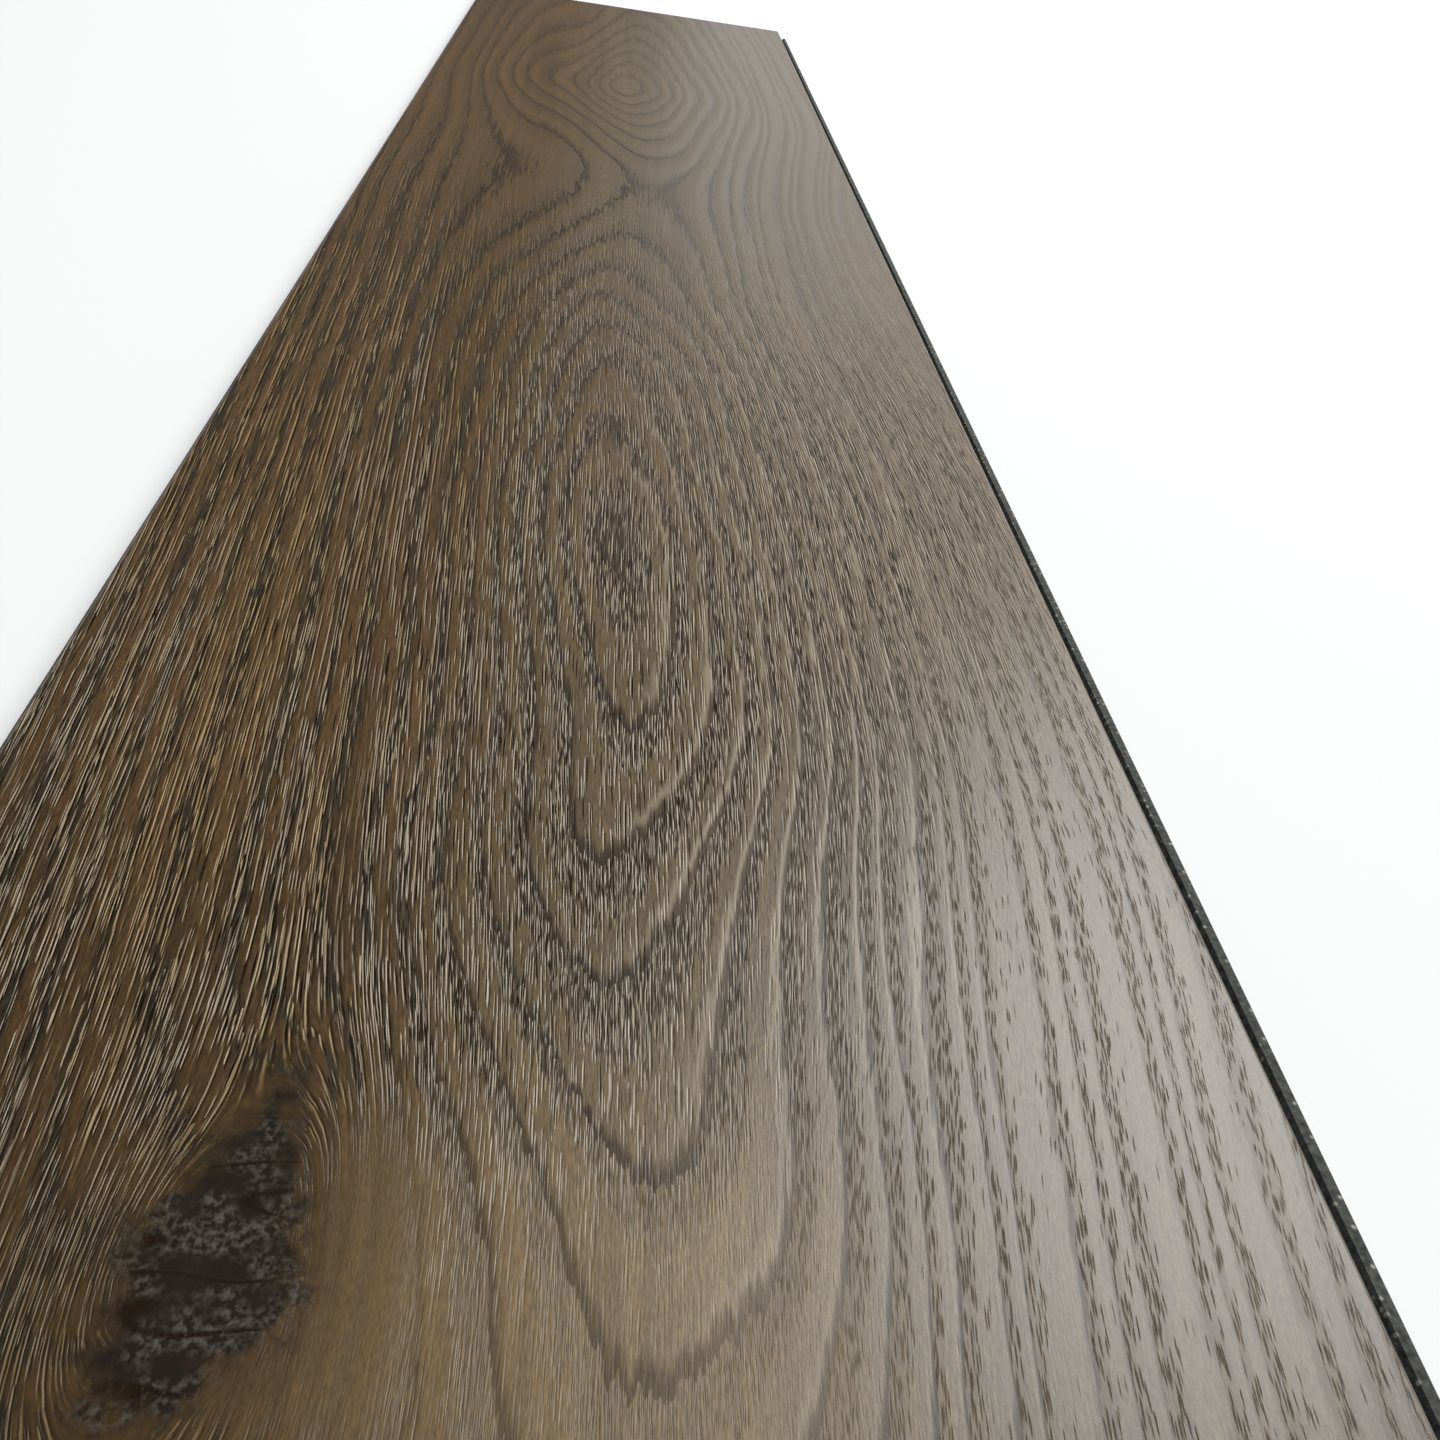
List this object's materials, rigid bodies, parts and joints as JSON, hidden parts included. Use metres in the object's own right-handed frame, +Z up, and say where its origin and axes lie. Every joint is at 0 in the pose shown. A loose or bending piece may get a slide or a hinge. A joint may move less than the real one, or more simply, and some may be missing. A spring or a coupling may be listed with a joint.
{
  "type": "laminate floorboard",
  "caption": "Long flat wood-effect floorboard with a bevelled face and a locking tongue and lipped groove milled along its sides and ends.",
  "frame": {"origin": "centre of the laid face, dropped onto the underside", "axes": "+Y along the board towards its lipped end, +X across towards its lipped long edge, +Z up to the wear face"},
  "size_m": [0.2038, 1.2238, 0.008],
  "materials": {
    "laminate": "dark brown oak decor under an embossed satin wear layer, dark grey core at the milled edges"
  },
  "bodies": {
    "root": {"floorboard": "laminate"}
  },
  "joints": []
}
